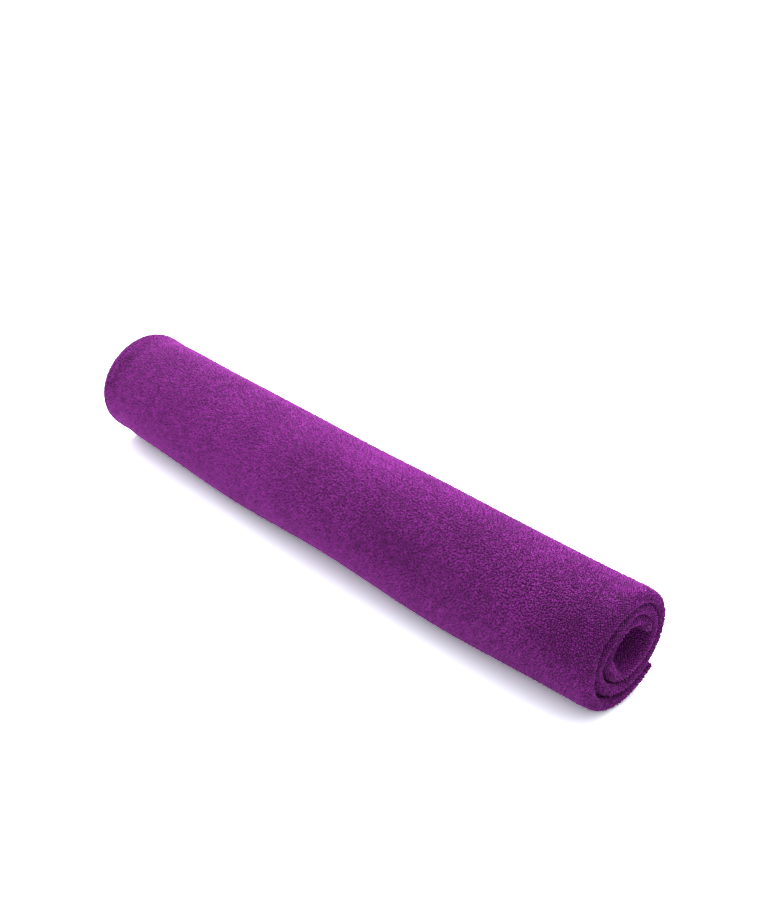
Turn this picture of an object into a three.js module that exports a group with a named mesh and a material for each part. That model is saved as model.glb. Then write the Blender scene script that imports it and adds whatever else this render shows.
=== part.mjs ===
// A quick-dry travel towel, folded in half across its middle and rolled up from a side edge.
// Millimetres, +Z up. The roll lies along X on the plane z = 0, with its fold at the +X end
// and its free edge on the +Y side.
import * as THREE from 'three';

// Driving dimensions
const towelLength = 760; // flat, and folded in half to make the length of the roll
const towelWidth = 400; // flat, and wound up in the roll
const plyThickness = 3.2; // knitted ground with pile on both faces
const plyGap = 0.3; // air between two plies that lie on each other
const coreRadius = 8.8; // hollow that is left in the middle of the roll
const hemWidth = 5; // overlocked edge on all four sides
const hemPress = 0.4; // how much thinner the stitches press a hem than the cloth beside it
const seamGap = 0.3; // between the cloth and the hem around it
const pressedDepth = 1; // how far the lowest ply is pressed flat by the weight
const settling = 1.033; // the soft roll lies this much wider, and as much lower
const freeEdgeClock = THREE.MathUtils.degToRad(135); // clockwise from the top, seen from +X
const stepLength = 3.2; // facets along the winding
const foldSteps = 4; // facets in a quarter of the fold

// Both plies are wound together, so each turn grows by two of them
const plyPitch = plyThickness + plyGap;
const hemThickness = plyThickness - hemPress;
const growth = plyPitch / Math.PI;
const startRadius = coreRadius + plyThickness + plyGap / 2;
const rollEnd = towelLength / 4;
const foldCentre = rollEnd - plyPitch / 2 - plyThickness / 2;

function woundAngle(distance) {
  return (Math.sqrt(startRadius ** 2 + 2 * growth * distance) - startRadius) / growth;
}

// The winding between two distances from the edge in the core, raised by lift above the
// surface that the two plies share
class Winding extends THREE.Curve {
  constructor(from, to, lift) {
    super();
    this.from = from;
    this.to = to;
    this.lift = lift;
  }

  getPoint(share, target = new THREE.Vector3()) {
    const angle = woundAngle(THREE.MathUtils.lerp(this.from, this.to, share));
    const clock = freeEdgeClock + woundAngle(towelWidth) - angle;
    const radius = startRadius + growth * angle + this.lift;
    return target.set(0, radius * Math.sin(clock), radius * Math.cos(clock));
  }
}

// The roll stands on z = 0 with its box centred on y = 0, a little wider than it is high
const outerFace = new Winding(0, towelWidth, (plyPitch + plyThickness) / 2);
const rollBox = new THREE.Box3().setFromPoints(outerFace.getSpacedPoints(1000));
const middle = settling * (rollBox.min.y + rollBox.max.y) / 2;
const floorHeight = rollBox.min.z / settling + pressedDepth;

function laidDown(geometry) {
  const position = geometry.getAttribute('position');
  for (let index = 0; index < position.count; index += 1) {
    position.setY(index, position.getY(index) * settling - middle);
    position.setZ(index, Math.max(position.getZ(index) / settling - floorHeight, 0));
  }
  return geometry;
}

// A profile has x along the roll and height above the winding. A sweep takes the first
// against +X and the second inward, so both are turned round.
function wind(name, material, profile, from, to, lift) {
  const points = profile.getPoints(foldSteps).map((point) => point.negate());
  const geometry = new THREE.ExtrudeGeometry(new THREE.Shape(points), {
    steps: Math.ceil((to - from) / stepLength),
    extrudePath: new Winding(from, to, lift),
  });
  const mesh = new THREE.Mesh(laidDown(geometry), material);
  mesh.name = name;
  return mesh;
}

function foldedProfile(start, thickness) {
  const outside = (plyPitch + thickness) / 2;
  const inside = (plyPitch - thickness) / 2;
  const profile = new THREE.Shape();
  profile.moveTo(start, -outside);
  profile.lineTo(foldCentre, -outside);
  profile.absarc(foldCentre, 0, outside, -Math.PI / 2, Math.PI / 2, false);
  profile.lineTo(start, outside);
  profile.lineTo(start, inside);
  profile.absarc(foldCentre, 0, inside, Math.PI / 2, -Math.PI / 2, true);
  profile.lineTo(start, -inside);
  return profile;
}

function flatProfile(start, end, thickness) {
  const half = thickness / 2;
  return new THREE.Shape([[start, -half], [end, -half], [end, half], [start, half]].map(
    ([x, height]) => new THREE.Vector2(x, height)));
}

const cloth = new THREE.MeshStandardMaterial({ color: 0x8a3090, roughness: 0.95, metalness: 0 });
const stitched = new THREE.MeshStandardMaterial({ color: 0x6f2475, roughness: 0.85, metalness: 0 });

const seam = hemWidth + seamGap;
const clothStart = -rollEnd + seam;
const clothFold = foldedProfile(clothStart, plyThickness);
const hemFold = foldedProfile(clothStart, hemThickness);
const endHem = flatProfile(-rollEnd, -rollEnd + hemWidth, hemThickness);

const group = new THREE.Group();
group.add(
  wind('cloth_panel', cloth, clothFold, seam, towelWidth - seam, 0),
  wind('core_side_hem', stitched.clone(), hemFold, 0, hemWidth, 0),
  wind('free_side_hem', stitched.clone(), hemFold, towelWidth - hemWidth, towelWidth, 0),
  wind('inner_end_hem', stitched.clone(), endHem, 0, towelWidth, -plyPitch / 2),
  wind('outer_end_hem', stitched.clone(), endHem, 0, towelWidth, plyPitch / 2),
);

export default group;
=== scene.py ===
import math

import bpy
import numpy as np
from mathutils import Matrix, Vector


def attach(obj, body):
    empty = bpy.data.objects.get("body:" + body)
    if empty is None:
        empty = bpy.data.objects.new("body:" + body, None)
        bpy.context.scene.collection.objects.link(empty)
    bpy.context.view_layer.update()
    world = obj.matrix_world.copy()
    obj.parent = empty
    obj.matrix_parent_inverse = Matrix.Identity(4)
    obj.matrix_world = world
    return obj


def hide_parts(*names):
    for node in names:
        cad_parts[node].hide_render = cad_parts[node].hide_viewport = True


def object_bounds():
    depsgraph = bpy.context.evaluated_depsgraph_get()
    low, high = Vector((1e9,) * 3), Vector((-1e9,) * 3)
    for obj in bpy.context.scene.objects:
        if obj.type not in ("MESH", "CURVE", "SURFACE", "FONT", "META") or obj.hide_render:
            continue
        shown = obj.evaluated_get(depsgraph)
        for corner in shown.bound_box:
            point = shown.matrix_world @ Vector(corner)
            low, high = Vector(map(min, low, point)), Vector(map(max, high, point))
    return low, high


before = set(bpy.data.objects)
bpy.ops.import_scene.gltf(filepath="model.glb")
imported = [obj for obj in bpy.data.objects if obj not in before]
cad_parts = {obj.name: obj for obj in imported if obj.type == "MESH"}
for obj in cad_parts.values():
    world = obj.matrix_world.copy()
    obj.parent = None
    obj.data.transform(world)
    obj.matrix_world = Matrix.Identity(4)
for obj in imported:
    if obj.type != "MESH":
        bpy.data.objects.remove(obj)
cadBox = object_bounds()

mm = 0.001
chance = np.random.default_rng(7)

# ---- camera, light and floor

studio = {
    "cameraAt": (0.4929, -0.4279, 0.4197), "lookAt": (-0.0623, 0.0844, 0.0), "lens": 55.97,
    "sensorWidth": 36, "clipStart": 0.01,
    "floorSize": 40.0, "floorDrop": 0.0002, "floorRoughness": 0.9, "floorSpecular": 0.1,
    "floorColour": (0.95, 0.955, 0.965, 1), "floorSeen": (2.0, 2.13, 2.13, 1),
    "skyColour": (0.97, 0.98, 1.0, 1), "skyLow": 0.53, "skyHigh": 1.24, "backdropStrength": 0.985,
    "sunTurn": (-22, -46, 0), "sunStrength": 1.7, "sunSoftness": 80,
    "boxAt": (-0.50, 0.26, 0.60), "boxAim": (-0.02, 0.0, 0.05), "boxSize": 0.5, "boxPower": 9.2,
}


def aimAt(thing, target):
    thing.rotation_euler = (Vector(target) - thing.location).to_track_quat("-Z", "Y").to_euler()


def makeCamera(values):
    cameraData = bpy.data.cameras.new("camera")
    cameraData.lens = values["lens"]
    cameraData.sensor_width = values["sensorWidth"]
    cameraData.clip_start = values["clipStart"]
    camera = bpy.data.objects.new("camera", cameraData)
    bpy.context.collection.objects.link(camera)
    camera.location = values["cameraAt"]
    aimAt(camera, values["lookAt"])
    bpy.context.scene.camera = camera


def makeLights(values):
    sunData = bpy.data.lights.new("softSun", "SUN")
    sunData.energy = values["sunStrength"]
    sunData.angle = math.radians(values["sunSoftness"])
    sun = bpy.data.objects.new("softSun", sunData)
    sun.rotation_euler = [math.radians(turn) for turn in values["sunTurn"]]
    bpy.context.collection.objects.link(sun)

    boxData = bpy.data.lights.new("softBox", "AREA")  # stands behind the far end of the roll
    boxData.energy = values["boxPower"]
    boxData.size = values["boxSize"]
    box = bpy.data.objects.new("softBox", boxData)
    box.location = values["boxAt"]
    aimAt(box, values["boxAim"])
    box.visible_camera = False
    bpy.context.collection.objects.link(box)


# one shader for what the camera sees straight on, and another for all other light
def splitForCamera(tree, others, seen, output):
    path = tree.nodes.new("ShaderNodeLightPath")
    mix = tree.nodes.new("ShaderNodeMixShader")
    tree.links.new(path.outputs["Is Camera Ray"], mix.inputs["Fac"])
    tree.links.new(others.outputs[0], mix.inputs[1])
    tree.links.new(seen.outputs[0], mix.inputs[2])
    tree.links.new(mix.outputs["Shader"], output.inputs["Surface"])


def makeSky(values):
    world = bpy.data.worlds.new("studio")
    world.use_nodes = True
    nodes, links = world.node_tree.nodes, world.node_tree.links
    nodes.clear()
    sky = nodes.new("ShaderNodeBackground")
    sky.inputs["Color"].default_value = values["skyColour"]
    overhead = nodes.new("ShaderNodeTexCoord")
    height = nodes.new("ShaderNodeSeparateXYZ")
    brighter = nodes.new("ShaderNodeMapRange")  # the light comes mostly from above
    brighter.inputs["To Min"].default_value = values["skyLow"]
    brighter.inputs["To Max"].default_value = values["skyHigh"]
    links.new(overhead.outputs["Generated"], height.inputs[0])
    links.new(height.outputs["Z"], brighter.inputs["Value"])
    links.new(brighter.outputs["Result"], sky.inputs["Strength"])
    backdrop = nodes.new("ShaderNodeBackground")  # what shows past the floor's edge
    backdrop.inputs["Color"].default_value = values["skyColour"]
    backdrop.inputs["Strength"].default_value = values["backdropStrength"]
    splitForCamera(world.node_tree, sky, backdrop, nodes.new("ShaderNodeOutputWorld"))
    bpy.context.scene.world = world
    bpy.context.scene.view_settings.view_transform = "Standard"


def makeFloor(values):
    bpy.ops.mesh.primitive_plane_add(size=values["floorSize"], location=(0, 0, -values["floorDrop"]))
    floor = bpy.context.object
    floor.name = "floor"
    paint = bpy.data.materials.new("floorPaint")
    paint.use_nodes = True
    nodes = paint.node_tree.nodes
    shader = nodes["Principled BSDF"]
    shader.inputs["Base Color"].default_value = values["floorColour"]
    shader.inputs["Roughness"].default_value = values["floorRoughness"]
    shader.inputs["Specular IOR Level"].default_value = values["floorSpecular"]
    exposed = nodes.new("ShaderNodeBsdfDiffuse")  # the camera sees the floor burnt out to white
    exposed.inputs["Color"].default_value = values["floorSeen"]
    splitForCamera(paint.node_tree, shader, exposed, nodes["Material Output"])
    floor.data.materials.append(paint)


makeCamera(studio)
makeLights(studio)
makeSky(studio)
makeFloor(studio)
print("studio is set")

# ---- how the towel is wound: the CAD's own sizes

towel = {
    "length": 2 * (cadBox[1][0] - cadBox[0][0]), "width": 400 * mm,
    "ply": 3.2 * mm, "gap": 0.3 * mm, "core": 8.8 * mm, "hem": 5 * mm, "seam": 0.3 * mm,
    "freeEdgeClock": math.radians(135),
    "settling": 1.033,  # it settles this much wider and this much lower than round
    "pressed": 1 * mm,  # how much its weight flattens the bottom
    "ground": 1.8 * mm,  # the knitted ground, without the tips of the pile
}
plyPitch = towel["ply"] + towel["gap"]
growth = plyPitch / math.pi
startRadius = towel["core"] + towel["ply"] + towel["gap"] / 2
rollEnd = towel["length"] / 4
foldBend = plyPitch / 2  # radius of the cloth's middle where it turns back
foldArc = foldBend * math.pi / 2
foldCentre = rollEnd - plyPitch / 2 - towel["ply"] / 2
clothReach = foldArc + foldCentre + rollEnd  # from the fold's crest to either end hem's edge


def woundAngle(distance):
    return (np.sqrt(startRadius ** 2 + 2 * growth * np.maximum(distance, 0)) - startRadius) / growth


def woundDistance(angle):
    return startRadius * angle + growth * angle ** 2 / 2


fullAngle = float(woundAngle(towel["width"]))


def rollBox():
    angle = np.linspace(0, fullAngle, 3000)
    clock = towel["freeEdgeClock"] + fullAngle - angle
    radius = startRadius + growth * angle + (plyPitch + towel["ply"]) / 2
    y, z = radius * np.sin(clock) * towel["settling"], radius * np.cos(clock) / towel["settling"]
    return y.min(), y.max(), z.min()


lowY, highY, lowZ = rollBox()
rollMiddle = (lowY + highY) / 2
rollFloor = lowZ + towel["pressed"]

# each entry is where and how wide, in degrees, and how much, in mm or as a share; the degrees
# count on, turn by turn, from the free edge in to the core
shape = {
    "nearReach": 70 * mm, "farReach": 45 * mm,
    "slack": [(158, 26, -1.2), (240, 38, 1.0), (355, 45, -0.8), (440, 45, 1.2), (595, 32, -1.3),
              (680, 45, -1.5), (812, 50, 2.8), (955, 34, -3.6), (1040, 45, -0.8), (1168, 42, 5.4)],
    "squeeze": [(330, 60, 0.12), (455, 60, 0.28), (690, 50, 0.25), (820, 60, 0.4), (1040, 50, 0.2),
                (1155, 60, 0.35)],
    "farSlack": [(430, 50, -0.8), (1165, 60, 2.5), (960, 50, -1.0)],
    "slant": [(250, 40, 2.0), (312, 72, 4.2), (672, 60, 4.2), (1020, 70, 2.4)],
    "rimLength": 9 * mm, "rimInset": 0.055, "taper": 0.018, "farRimLength": 5 * mm, "farRimInset": 0.03,
    "waistAt": 15 * mm, "waistLength": 10 * mm, "waistDepth": 0.02,  # behind the end hems
    "freeThinning": 0.4, "freeThinReach": 14 * mm,
    "overrun": 1.1, "rimOverrun": 1.2,  # how far past the ends the easing may go on
    "ripples": 7, "rippleDepth": 0.3 * mm, "rippleFullAt": 2.7,  # times the first turn's radius
    "bow": -3.8 * mm,  # the soft roll isn't quite straight
}
rippleTurns = chance.integers(1, 4, shape["ripples"])
rippleWaves = chance.uniform(12, 45, shape["ripples"]) * chance.choice([-1, 1], shape["ripples"])
ripplePhases = chance.uniform(0, 2 * math.pi, shape["ripples"])


def humps(clock, entries):
    turned = np.degrees(clock)
    return sum(amount * np.exp(-((turned - at) / width) ** 2) for at, width, amount in entries)


# rises from 0 to 1, level at both ends
def ease(share):
    return share * share * (3 - 2 * share)


# a place in the roll: x along it, distance wound from the core, height above the plies' shared face
def inRoll(x, distance, height):
    angle = woundAngle(distance)
    clock = towel["freeEdgeClock"] + fullAngle - angle
    near = ease(np.clip(1 - (rollEnd - x) / shape["nearReach"], 0, shape["overrun"]))
    far = ease(np.clip(1 - (rollEnd + x) / shape["farReach"], 0, shape["overrun"]))
    thinning = 1 - shape["freeThinning"] * np.exp(-(towel["width"] - distance) / shape["freeThinReach"])
    squeeze = 1 - near * humps(clock, shape["squeeze"])
    radius = startRadius + growth * angle + height * thinning * squeeze
    radius = radius + (near * humps(clock, shape["slack"]) + far * humps(clock, shape["farSlack"])) * mm
    nearRim = np.clip(1 - (rollEnd - x) / shape["rimLength"], 0, shape["rimOverrun"]) ** 2
    farRim = np.clip(1 - (rollEnd + x) / shape["farRimLength"], 0, shape["rimOverrun"]) ** 2
    waist = np.exp(-((rollEnd + x - shape["waistAt"]) / shape["waistLength"]) ** 2)
    drawnIn = nearRim * shape["rimInset"] + farRim * shape["farRimInset"] + waist * shape["waistDepth"]
    radius = radius * (1 - drawnIn - near * shape["taper"])
    ripple = 0
    for turns, wave, phase in zip(rippleTurns, rippleWaves, ripplePhases):
        ripple = ripple + np.sin(turns * clock + wave * x + phase)
    fade = (radius / startRadius / shape["rippleFullAt"]) ** 2
    radius = radius + ripple * shape["rippleDepth"] * fade
    along = np.clip((x + rollEnd) / (2 * rollEnd), 0, shape["overrun"])
    y = radius * np.sin(clock) * towel["settling"] - rollMiddle
    z = radius * np.cos(clock) / towel["settling"] - rollFloor
    y = y + shape["bow"] * (1 - (x / rollEnd) ** 4)
    x = x + humps(clock, shape["slant"]) * mm * along ** 2
    return np.stack(np.broadcast_arrays(x, y, z), axis=-1)


# the middle of the cloth: reach counts from the fold, along the outer ply and, negative, the inner
def clothMiddle(reach, distance):
    bend = np.clip(reach / foldBend, -math.pi / 2, math.pi / 2)
    x = foldCentre + foldBend * np.cos(bend) - np.maximum(np.abs(reach) - foldArc, 0)
    return inRoll(x, distance, foldBend * np.sin(bend))


# place, and the directions along reach, along distance and out of the cloth's outer face
def clothFrame(reach, distance):
    reach, distance = np.broadcast_arrays(np.asarray(reach, float), np.asarray(distance, float))
    step = 0.15 * mm
    place = clothMiddle(reach, distance)
    across = clothMiddle(reach + step, distance) - clothMiddle(reach - step, distance)
    along = clothMiddle(reach, distance + step) - clothMiddle(reach, distance - step)
    across /= np.linalg.norm(across, axis=-1, keepdims=True)
    along /= np.linalg.norm(along, axis=-1, keepdims=True)
    facing = np.cross(across, along)
    facing /= np.linalg.norm(facing, axis=-1, keepdims=True)
    return place, across, along, facing


def laidOnCloth(reach, distance, height):
    place, _, _, facing = clothFrame(reach, distance)
    points = place + facing * np.asarray(height)[..., None]
    points[..., 2] = np.maximum(points[..., 2], 0)  # nothing sinks into the floor
    return points


# ---- mesh helpers

def makePiece(name, points, faces, material, cells):
    mesh = bpy.data.meshes.new(name)
    corners = faces.shape[1]
    mesh.vertices.add(len(points))
    mesh.vertices.foreach_set("co", points.astype(np.float32).ravel())
    mesh.loops.add(faces.size)
    mesh.loops.foreach_set("vertex_index", faces.astype(np.int32).ravel())
    mesh.polygons.add(len(faces))
    mesh.polygons.foreach_set("loop_start", np.arange(0, faces.size, corners, dtype=np.int32))
    mesh.polygons.foreach_set("use_smooth", np.full(len(faces), True))
    mesh.update(calc_edges=True)
    flatPlaces = mesh.uv_layers.new(name="OFBake")
    flatPlaces.data.foreach_set("uv", cells.astype(np.float32).ravel())
    mesh.materials.append(material)
    piece = bpy.data.objects.new(name, mesh)
    bpy.context.collection.objects.link(piece)
    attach(piece, "root")
    return piece


def outwardFaces(piece):
    bpy.ops.object.select_all(action="DESELECT")
    bpy.context.view_layer.objects.active = piece
    piece.select_set(True)
    bpy.ops.object.mode_set(mode="EDIT")
    bpy.ops.mesh.select_all(action="SELECT")
    bpy.ops.mesh.normals_make_consistent(inside=False)
    bpy.ops.object.mode_set(mode="OBJECT")


# the mesh of what was just modelled, as arrays, and the object removed
def takeModel():
    model = bpy.context.object
    points = np.array([vertex.co for vertex in model.data.vertices])
    faces = np.array([face.vertices for face in model.data.polygons])
    bpy.data.objects.remove(model)
    return points, faces


# a flat place of its own for each copy, in rows of small squares
def copyCells(template, count):
    perRow = int(math.ceil(math.sqrt(count)))
    number = np.arange(count)
    corner = np.stack([number % perRow, number // perRow], axis=-1)
    return (corner[:, None, None] + template[None]) / perRow


def stops(start, end, step):
    return np.linspace(start, end, max(2, int(math.ceil(abs(end - start) / step)) + 1))


# ---- materials

clothSheen = {"roughness": 0.5, "tint": (0.9, 0.42, 0.95, 1), "specular": 0.12}


def startMaterial(name, roughness, sheen):
    material = bpy.data.materials.new(name)
    material.use_nodes = True
    nodes = material.node_tree.nodes
    shader = nodes["Principled BSDF"]
    shader.inputs["Roughness"].default_value = roughness
    shader.inputs["Sheen Weight"].default_value = sheen
    shader.inputs["Sheen Roughness"].default_value = clothSheen["roughness"]
    shader.inputs["Sheen Tint"].default_value = clothSheen["tint"]
    shader.inputs["Specular IOR Level"].default_value = clothSheen["specular"]
    return material, nodes, material.node_tree.links, shader


def mixColours(nodes, links, factor, first, second, shader):
    colour = nodes.new("ShaderNodeMix")
    colour.data_type = "RGBA"
    colour.inputs["A"].default_value = first
    colour.inputs["B"].default_value = second
    links.new(factor, colour.inputs["Factor"])
    links.new(colour.outputs["Result"], shader.inputs["Base Color"])


def addBump(nodes, links, height, values, shader):
    bump = nodes.new("ShaderNodeBump")
    bump.inputs["Strength"].default_value = values["bump"]
    bump.inputs["Distance"].default_value = values["bumpDepth"]
    links.new(height, bump.inputs["Height"])
    links.new(bump.outputs["Normal"], shader.inputs["Normal"])
    return bump


# deep is the painted shade at the tufts' roots, light the colour towards their tips
pileLook = {
    "deep": (0.10, 0.006, 0.105, 1), "light": (0.44, 0.050, 0.46, 1), "roughness": 0.9, "sheen": 0.12,
    "patchScale": 24.0, "patchDepth": 0.10, "fineScale": 260.0, "fineDepth": 0.10,
    "cloudDetail": 2, "cloudLow": 0.3, "cloudHigh": 0.7,
}


def makePileMaterial(values):
    material, nodes, links, shader = startMaterial("plushPile", values["roughness"], values["sheen"])
    # the shade attribute carries each tuft's random tone, painted shade at its root, and patches of
    # painted light and painted shade; the clouds add random tone
    shade = nodes.new("ShaderNodeAttribute")
    shade.attribute_name = "shade"
    coordinates = nodes.new("ShaderNodeTexCoord")
    total = shade.outputs["Fac"]
    for scale, depth in (("patchScale", "patchDepth"), ("fineScale", "fineDepth")):
        cloud = nodes.new("ShaderNodeTexNoise")
        cloud.inputs["Scale"].default_value = values[scale]
        cloud.inputs["Detail"].default_value = values["cloudDetail"]
        links.new(coordinates.outputs["Object"], cloud.inputs["Vector"])
        nap = nodes.new("ShaderNodeMapRange")
        nap.inputs["From Min"].default_value = values["cloudLow"]
        nap.inputs["From Max"].default_value = values["cloudHigh"]
        nap.inputs["To Min"].default_value = -values[depth]
        nap.inputs["To Max"].default_value = values[depth]
        links.new(cloud.outputs["Fac"], nap.inputs["Value"])
        add = nodes.new("ShaderNodeMath")
        add.operation = "ADD"
        add.use_clamp = True
        links.new(total, add.inputs[0])
        links.new(nap.outputs["Result"], add.inputs[1])
        total = add.outputs[0]
    mixColours(nodes, links, total, values["deep"], values["light"], shader)
    return material


# painted shade: the knitted ground is much darker than the pile, as the shade down between the tufts,
# and each loop darkens towards its edge
groundLook = {
    "deep": (0.035, 0.002, 0.037, 1), "light": (0.13, 0.012, 0.135, 1), "roughness": 0.95,
    "sheen": 0.08, "loopScale": 900.0, "bump": 0.5, "bumpDepth": 0.6 * mm,
}


def makeGroundMaterial(values):
    material, nodes, links, shader = startMaterial("knittedGround", values["roughness"], values["sheen"])
    coordinates = nodes.new("ShaderNodeTexCoord")
    loops = nodes.new("ShaderNodeTexVoronoi")
    loops.inputs["Scale"].default_value = values["loopScale"]
    links.new(coordinates.outputs["Object"], loops.inputs["Vector"])
    mixColours(nodes, links, loops.outputs["Distance"], values["light"], values["deep"], shader)
    addBump(nodes, links, loops.outputs["Distance"], values, shader).invert = True
    return material


threadLook = {
    "deep": (0.09, 0.007, 0.095, 1), "light": (0.34, 0.042, 0.355, 1), "roughness": 0.7,
    "sheen": 0.1, "fibreScale": 2600.0, "fibreDetail": 2, "bump": 0.35, "bumpDepth": 0.2 * mm,
}


def makeThreadMaterial(values):
    material, nodes, links, shader = startMaterial("overlockThread", values["roughness"],
                                                   values["sheen"])
    coordinates = nodes.new("ShaderNodeTexCoord")
    fibres = nodes.new("ShaderNodeTexNoise")
    fibres.inputs["Scale"].default_value = values["fibreScale"]
    fibres.inputs["Detail"].default_value = values["fibreDetail"]
    links.new(coordinates.outputs["Object"], fibres.inputs["Vector"])
    mixColours(nodes, links, fibres.outputs["Fac"], values["deep"], values["light"], shader)
    addBump(nodes, links, fibres.outputs["Fac"], values, shader)
    return material


pileMaterial = makePileMaterial(pileLook)
groundMaterial = makeGroundMaterial(groundLook)
threadMaterial = makeThreadMaterial(threadLook)
print("materials are made")

# ---- the sheet: one closed slab of knitted ground

sheetGrid = {
    "foldSteps": 0.7 * mm, "rimSteps": 1.5 * mm, "middleSteps": 4.5 * mm, "alongSteps": 2.4 * mm,
    "pastFold": 1 * mm, "rim": 15 * mm,
    "mapDivisor": 4.2, "backMapAt": 0.5,  # the two faces side by side on the flat map
}
seamInside = towel["hem"] + towel["seam"]
clothEdge = clothReach - seamInside


def makeSheet(values):
    foldStop, rimStop = foldArc + values["pastFold"], foldArc + values["rim"]
    endRim = clothEdge - values["rim"]
    oneSide = np.concatenate([
        stops(0, foldStop, values["foldSteps"])[:-1],
        stops(foldStop, rimStop, values["rimSteps"])[:-1],
        stops(rimStop, endRim, values["middleSteps"])[:-1],
        stops(endRim, clothEdge, values["rimSteps"])])
    reachStops = np.concatenate([-oneSide[:0:-1], oneSide])
    alongStops = stops(seamInside, towel["width"] - seamInside, values["alongSteps"])
    reach, distance = np.meshgrid(reachStops, alongStops, indexing="ij")
    half = towel["ground"] / 2
    front = laidOnCloth(reach, distance, np.full(reach.shape, half)).reshape(-1, 3)
    back = laidOnCloth(reach, distance, np.full(reach.shape, -half)).reshape(-1, 3)
    count = reach.size
    index = np.arange(count).reshape(reach.shape)
    quads = np.stack([index[:-1, :-1], index[1:, :-1], index[1:, 1:], index[:-1, 1:]], axis=-1)
    quads = quads.reshape(-1, 4)
    edge = np.concatenate([index[0, :], index[1:, -1], index[-1, -2::-1], index[-2:0:-1, 0]])
    after = np.roll(edge, -1)
    wall = np.stack([edge, after, after + count, edge + count], axis=-1)
    faces = np.concatenate([quads, quads[:, ::-1] + count, wall])
    u = (reach.ravel() / clothReach + 1) / values["mapDivisor"]
    v = distance.ravel() / towel["width"]
    places = np.concatenate([np.stack([u, v], axis=-1), np.stack([u + values["backMapAt"], v], axis=-1)])
    cells = places[faces]
    cells[-len(wall):] = cells[-len(wall):, :1]
    sheet = makePiece("cloth_sheet", np.concatenate([front, back]), faces, groundMaterial,
                      cells)
    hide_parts("cloth_panel")
    return sheet


cloth = makeSheet(sheetGrid)
print("cloth sheet has", len(cloth.data.polygons), "faces")

# ---- hems: a band of pressed cloth with thread wound over its edge

hem = {
    "thickness": 2.2 * mm, "roundSteps": 8, "alongSteps": 1.8 * mm,
    "stitchPitch": 1.35 * mm, "threadRadius": 0.26 * mm, "threadLift": 0.1 * mm, "slant": 0.55 * mm,
    "stitchDepth": 4.6 * mm, "stitchStray": 0.08 * mm,
    "tubeShare": 0.12, "ringSteps": 12, "tubeSteps": 4, "stitchMapShare": 0.95, "fanCorner": 0.999,
}
hemRuns = {  # where each hem starts and ends along its run
    "core_side_hem": (-clothEdge, clothEdge), "free_side_hem": (-clothEdge, clothEdge),
    "inner_end_hem": (0, towel["width"]), "outer_end_hem": (0, towel["width"]),
}


# inward counts from the hem's outer edge
def hemPlace(run, inward, hemName):
    if hemName == "core_side_hem":
        return run, inward
    if hemName == "free_side_hem":
        return run, towel["width"] - inward
    if hemName == "inner_end_hem":
        return -(clothReach - inward), run
    return clothReach - inward, run


# a closed tube of cloth, flat inside and half round at the edge, with a fan over each end
def makeHem(name, start, end):
    half = hem["thickness"] / 2
    turn = np.linspace(-math.pi / 2, math.pi / 2, hem["roundSteps"])
    inward = np.concatenate([[towel["hem"]], half * (1 - np.cos(turn)), [towel["hem"]]])
    height = np.concatenate([[-half], half * np.sin(turn), [half]])
    runs = stops(start, end, hem["alongSteps"])
    ring, rows = len(inward), len(runs)
    runGrid, inwardGrid = np.meshgrid(runs, inward, indexing="ij")
    reach, distance = hemPlace(runGrid, inwardGrid, name)
    points = laidOnCloth(reach, distance, np.broadcast_to(height, reach.shape)).reshape(-1, 3)
    row, step = np.meshgrid(np.arange(rows - 1), np.arange(ring), indexing="ij")
    here, beside = row * ring + step, row * ring + (step + 1) % ring
    quads = np.stack([here, beside, beside + ring, here + ring], axis=-1).reshape(-1, 4)
    flat = np.stack([np.stack([row, step], -1), np.stack([row, step + 1], -1),
                     np.stack([row + 1, step + 1], -1), np.stack([row + 1, step], -1)], axis=2)
    flat = flat.reshape(-1, 4, 2) / np.array([rows, ring + 1])
    first, last = np.arange(ring), np.arange(ring) + (rows - 1) * ring
    fans = np.concatenate([
        np.stack([np.roll(first, -1), first, np.full(ring, len(points))], axis=-1),
        np.stack([last, np.roll(last, -1), np.full(ring, len(points) + 1)], axis=-1)])
    points = np.concatenate([points, points[first].mean(0)[None], points[last].mean(0)[None]])
    faces = np.concatenate([quads[:, [0, 1, 2]], quads[:, [0, 2, 3]], fans])
    fanCells = np.full((len(fans), 3, 2), hem["fanCorner"])
    cells = np.concatenate([flat[:, [0, 1, 2]], flat[:, [0, 2, 3]], fanCells])
    band = makePiece(name + "_cloth", points, faces, groundMaterial, cells)
    outwardFaces(band)
    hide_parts(name)
    return band


# one stitch, a ring of thread of unit radius
def modelStitch():
    bpy.ops.object.select_all(action="DESELECT")
    bpy.ops.mesh.primitive_torus_add(major_segments=hem["ringSteps"], minor_segments=hem["tubeSteps"],
                                     major_radius=1, minor_radius=hem["tubeShare"])
    points, faces = takeModel()
    around, across = faces // hem["tubeSteps"], faces % hem["tubeSteps"]
    flat = np.stack([around / hem["ringSteps"], across / hem["tubeSteps"]], axis=-1)
    wrapped = (flat.max(1, keepdims=True) - flat > 0.5) & (flat < 0.3)  # faces over the map's seam
    return points, faces, (flat + wrapped) * hem["stitchMapShare"]


stitchPoints, stitchFaces, stitchCells = modelStitch()


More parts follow.
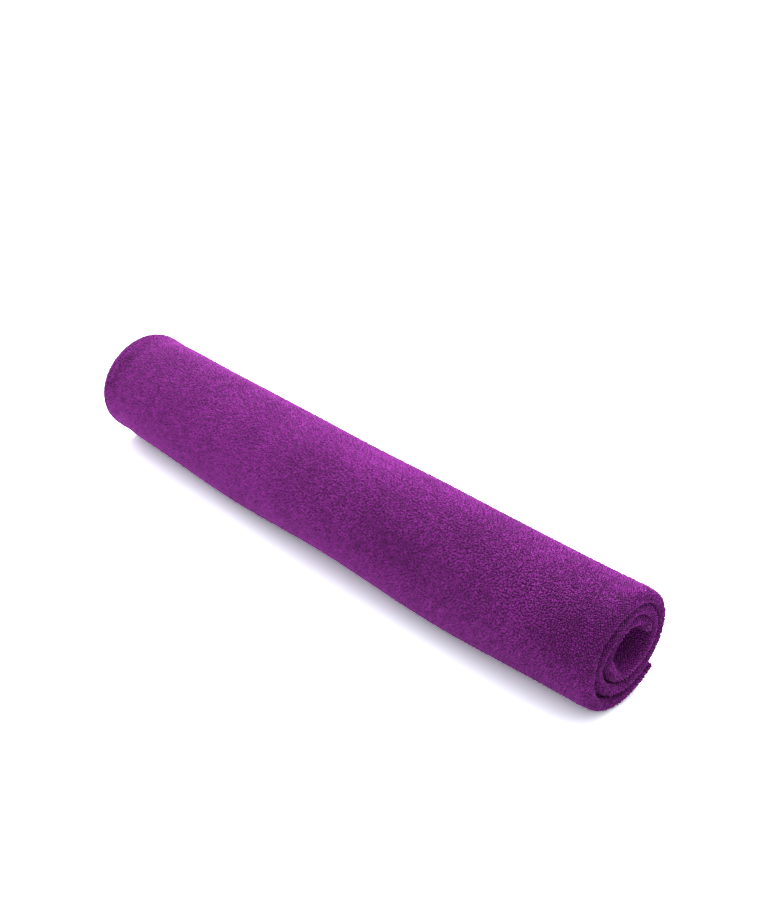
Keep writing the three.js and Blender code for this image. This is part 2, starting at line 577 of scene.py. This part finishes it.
def makeStitches(name, start, end):
    pitch, radius = hem["stitchPitch"], hem["threadRadius"]
    starts = np.arange(start + pitch, end - pitch, pitch)
    starts = starts + chance.normal(0, hem["stitchStray"], len(starts))
    depth = hem["stitchDepth"] / 2
    rise = hem["thickness"] / 2 + hem["threadLift"]
    length = np.hypot(stitchPoints[:, 0], stitchPoints[:, 1])
    outward, upward = stitchPoints[:, 0] / length, stitchPoints[:, 1] / length
    thick = (length - 1) / hem["tubeShare"]
    sideways = stitchPoints[:, 2] / hem["tubeShare"] * radius
    inward = depth - (depth + radius * thick) * outward
    height = (rise + radius * thick) * upward
    run = starts[:, None] + sideways + hem["slant"] * outward * np.sign(upward)
    reach, distance = hemPlace(run, np.broadcast_to(inward, run.shape), name)
    points = laidOnCloth(reach, distance, np.broadcast_to(height, run.shape)).reshape(-1, 3)
    copies = np.arange(len(starts)) * len(stitchPoints)
    faces = (stitchFaces[None] + copies[:, None, None]).reshape(-1, 4)
    thread = makePiece(name + "_thread", points, faces, threadMaterial,
                       copyCells(stitchCells, len(starts)))
    outwardFaces(thread)
    return thread


for hemName, (start, end) in hemRuns.items():
    makeHem(hemName, start, end)
    makeStitches(hemName, start, end)
print("hems and stitches are made")

# ---- pile: short tufts that lean with the nap

pile = {
    "pitch": 0.98 * mm, "width": 1.06 * mm, "height": 0.75 * mm, "lean": 0.45 * mm, "sink": 0.25 * mm,
    "rowShare": 0.87, "jitter": 0.3, "rowJitter": 0.12, "sizeSpread": 0.08,
    "napTurn": 0.6, "turnSpread": 0.9, "leanCurve": 1.5,
    "tipShade": 0.62, "shadeCurve": 1.3, "shadeSpread": 0.10,
    "hemSize": 0.72, "foldZone": 13 * mm, "strips": 7,
    "underFreeEdge": 8 * mm, "coreNear": 55 * mm, "coreFar": 30 * mm,  # where it stops out of sight
    "endInset": 0.5 * mm, "sideInset": 0.4 * mm, "patchAxis": 30.8 * mm,
    # darker patches, partly brushed-flat nap and partly painted shade, mostly on the lower front side
    # and in a band just behind the far rim: along the roll (mm), degrees from the top towards +Y, length
    # (mm), degrees wide, darker by
    "brushedAndPaintedShade": [(74, -66, 24, 17, 0.30), (183, -50, 12, 42, 0.26), (120, -32, 24, 14, 0.06),
                (-150, -8, 22, 14, 0.10), (-98, -24, 10, 10, 0.12), (-126, -46, 8, 9, 0.09),
                (-178, -34, 4, 46, 0.16), (40, -100, 30, 20, 0.10), (120, -120, 70, 20, 0.16),
                (135, -78, 34, 26, 0.12)],
    # lighter patches, partly raised nap and partly painted light, mostly along the top and on the far
    # rim: the same, lighter by
    "raised": [(30, -4, 46, 24, 0.30), (84, 4, 28, 16, 0.18), (-42, -66, 50, 22, 0.10),
               (-66, -96, 16, 18, 0.06), (148, -66, 12, 20, 0.18), (-84, -20, 18, 18, 0.12),
               (-148, -60, 12, 14, 0.12), (-188, -30, 4, 60, 0.2)],
}


tuft = {
    "footRadius": 0.5, "shoulderRadius": 0.42, "shoulderHeight": 0.6, "tipRise": 0.4,
    "footMap": 0.46, "shoulderMap": 0.28,  # how far each ring is from the middle of its flat place
}


# one tuft, a unit wide and high: a four-sided bud with a blunt tip
def modelTuft():
    bpy.ops.object.select_all(action="DESELECT")
    bpy.ops.mesh.primitive_cone_add(vertices=4, radius1=tuft["footRadius"],
                                    radius2=tuft["shoulderRadius"], depth=tuft["shoulderHeight"],
                                    end_fill_type="NGON", location=(0, 0, tuft["shoulderHeight"] / 2))
    bud = bpy.context.object
    bpy.ops.object.transform_apply(location=True)
    bpy.ops.object.mode_set(mode="EDIT")
    bpy.ops.mesh.select_all(action="DESELECT")
    bpy.ops.object.mode_set(mode="OBJECT")
    for face in bud.data.polygons:
        face.select = face.normal.z > 0.9
    bpy.ops.object.mode_set(mode="EDIT")
    bpy.ops.mesh.poke(offset=tuft["tipRise"])
    bpy.ops.mesh.select_all(action="SELECT")
    bpy.ops.mesh.quads_convert_to_tris()
    bpy.ops.object.mode_set(mode="OBJECT")
    points, faces = takeModel()
    atFoot, belowTip = points[:, 2] < 0.1, points[:, 2] < 0.7
    spread = np.where(atFoot, tuft["footMap"], np.where(belowTip, tuft["shoulderMap"], 0.0))
    around = points[:, :2] / np.maximum(np.linalg.norm(points[:, :2], axis=1, keepdims=True), 1e-6)
    cells = (0.5 + around * spread[:, None])[faces]
    cells[atFoot[faces].all(1)] = 0.5 + tuft["footMap"] * 0.99  # the foot's own face is never seen
    return points, faces, cells


tuftPoints, tuftFaces, tuftCells = modelTuft()
print("one tuft has", len(tuftFaces), "faces")


# staggered rows of roots over a patch of the towel
def tuftRoots(reachRange, distanceRange, pitch):
    columns = int((reachRange[1] - reachRange[0]) / pitch)
    rows = int((distanceRange[1] - distanceRange[0]) / (pitch * pile["rowShare"]))
    column, row = np.meshgrid(np.arange(columns), np.arange(rows), indexing="ij")
    reach = reachRange[0] + (column + 0.25 + 0.5 * (row % 2)) * (reachRange[1] - reachRange[0]) / columns
    distance = distanceRange[0] + (row + 0.5) * (distanceRange[1] - distanceRange[0]) / rows
    inRows = np.abs(reach) < pile["foldZone"]
    stray = np.where(inRows, pile["rowJitter"], pile["jitter"]) * pitch
    reach = reach + chance.uniform(-1, 1, reach.shape) * stray
    distance = distance + chance.uniform(-1, 1, reach.shape) * pile["jitter"] * pitch
    return reach.ravel(), distance.ravel()


# how strong a set of patches is at a place on the roll
def patchStrength(place, entries):
    clock = np.degrees(np.arctan2(place[:, 1], place[:, 2] - pile["patchAxis"]))
    total = 0
    for at, turn, length, width, amount in entries:
        away = (clock - turn + 180) % 360 - 180
        total = total + amount * np.exp(-((place[:, 0] / mm - at) / length) ** 2 - (away / width) ** 2)
    return total


def makePile(name, reach, distance, onHem):
    place, across, along, facing = clothFrame(reach, distance)
    count = len(place)
    turn = chance.normal(pile["napTurn"], pile["turnSpread"], count)[:, None]
    size = (pile["hemSize"] if onHem else 1.0) * np.exp(chance.normal(0, pile["sizeSpread"], count))
    size = size[:, None]
    rise = tuftPoints[:, 2] / tuftPoints[:, 2].max()
    lean = pile["lean"] * size * rise ** pile["leanCurve"]
    spin = chance.uniform(0, math.pi / 2, count)[:, None]
    width = pile["width"] * size
    reachWay = (tuftPoints[:, 0] * np.cos(spin) - tuftPoints[:, 1] * np.sin(spin)) * width
    woundWay = (tuftPoints[:, 0] * np.sin(spin) + tuftPoints[:, 1] * np.cos(spin)) * width
    reachWay = reachWay + np.cos(turn) * lean
    woundWay = woundWay + np.sin(turn) * lean
    root = (hem["thickness"] if onHem else towel["ground"]) / 2 - pile["sink"]
    outWay = root + rise * (pile["height"] + pile["sink"]) * size
    points = (place[:, None] + across[:, None] * reachWay[..., None]
              + along[:, None] * woundWay[..., None] + facing[:, None] * outWay[..., None])
    points[..., 2] = np.maximum(points[..., 2], 0)
    faces = (tuftFaces[None] + (np.arange(count) * len(tuftPoints))[:, None, None]).reshape(-1, 3)
    toneAndPaintedLight = chance.normal(0, pile["shadeSpread"], count)
    # painted light and painted shade: the patches lighten and darken each tuft's random tone
    toneAndPaintedLight = toneAndPaintedLight + patchStrength(place, pile["raised"]) - patchStrength(place, pile["brushedAndPaintedShade"])
    # painted shade: each tuft runs from dark at its root to lighter at its tip, as the shade down among
    # the tufts
    shade = np.clip(pile["tipShade"] * rise ** pile["shadeCurve"] + toneAndPaintedLight[:, None], 0, 1)
    piece = makePiece(name, points.reshape(-1, 3), faces, pileMaterial,
                      copyCells(tuftCells, count))
    outwardFaces(piece)
    shadeData = piece.data.attributes.new("shade", "FLOAT", "POINT")
    shadeData.data.foreach_set("value", shade.astype(np.float32).ravel())
    return piece


turnBack = float(woundDistance(fullAngle - 2 * math.pi)) - pile["underFreeEdge"]
coreTurn = float(woundDistance(2 * math.pi))
freeStop = towel["width"] - seamInside
foldZone, seam, ends, sides = pile["foldZone"], towel["seam"], pile["endInset"], pile["sideInset"]
stripEdges = np.linspace(foldZone, clothEdge, pile["strips"] + 1)

# each patch is where it runs along the reach, and where along the winding
patches = {f"pile_outer_{number + 1}": (stripEdges[number:number + 2], (turnBack, freeStop))
           for number in range(pile["strips"])}
patches["pile_fold"] = ((-foldZone, foldZone), (seamInside, freeStop))
patches["pile_core_near"] = ((-pile["coreNear"], -foldZone), (seamInside, coreTurn))
patches["pile_core_far"] = ((-clothEdge, -clothEdge + pile["coreFar"]), (seamInside, coreTurn))
patches["hem_pile_far"] = ((clothEdge + seam, clothReach - ends), (turnBack, towel["width"]))
patches["hem_pile_free"] = ((-foldZone, foldZone), (freeStop + seam, towel["width"] - sides))
patches["hem_pile_core"] = ((-foldZone, foldZone), (sides, seamInside - seam))
for patchName, (reachRange, distanceRange) in patches.items():
    reach, distance = tuftRoots(reachRange, distanceRange, pile["pitch"])
    makePile(patchName, reach, distance, patchName.startswith("hem"))
print("pile is made")
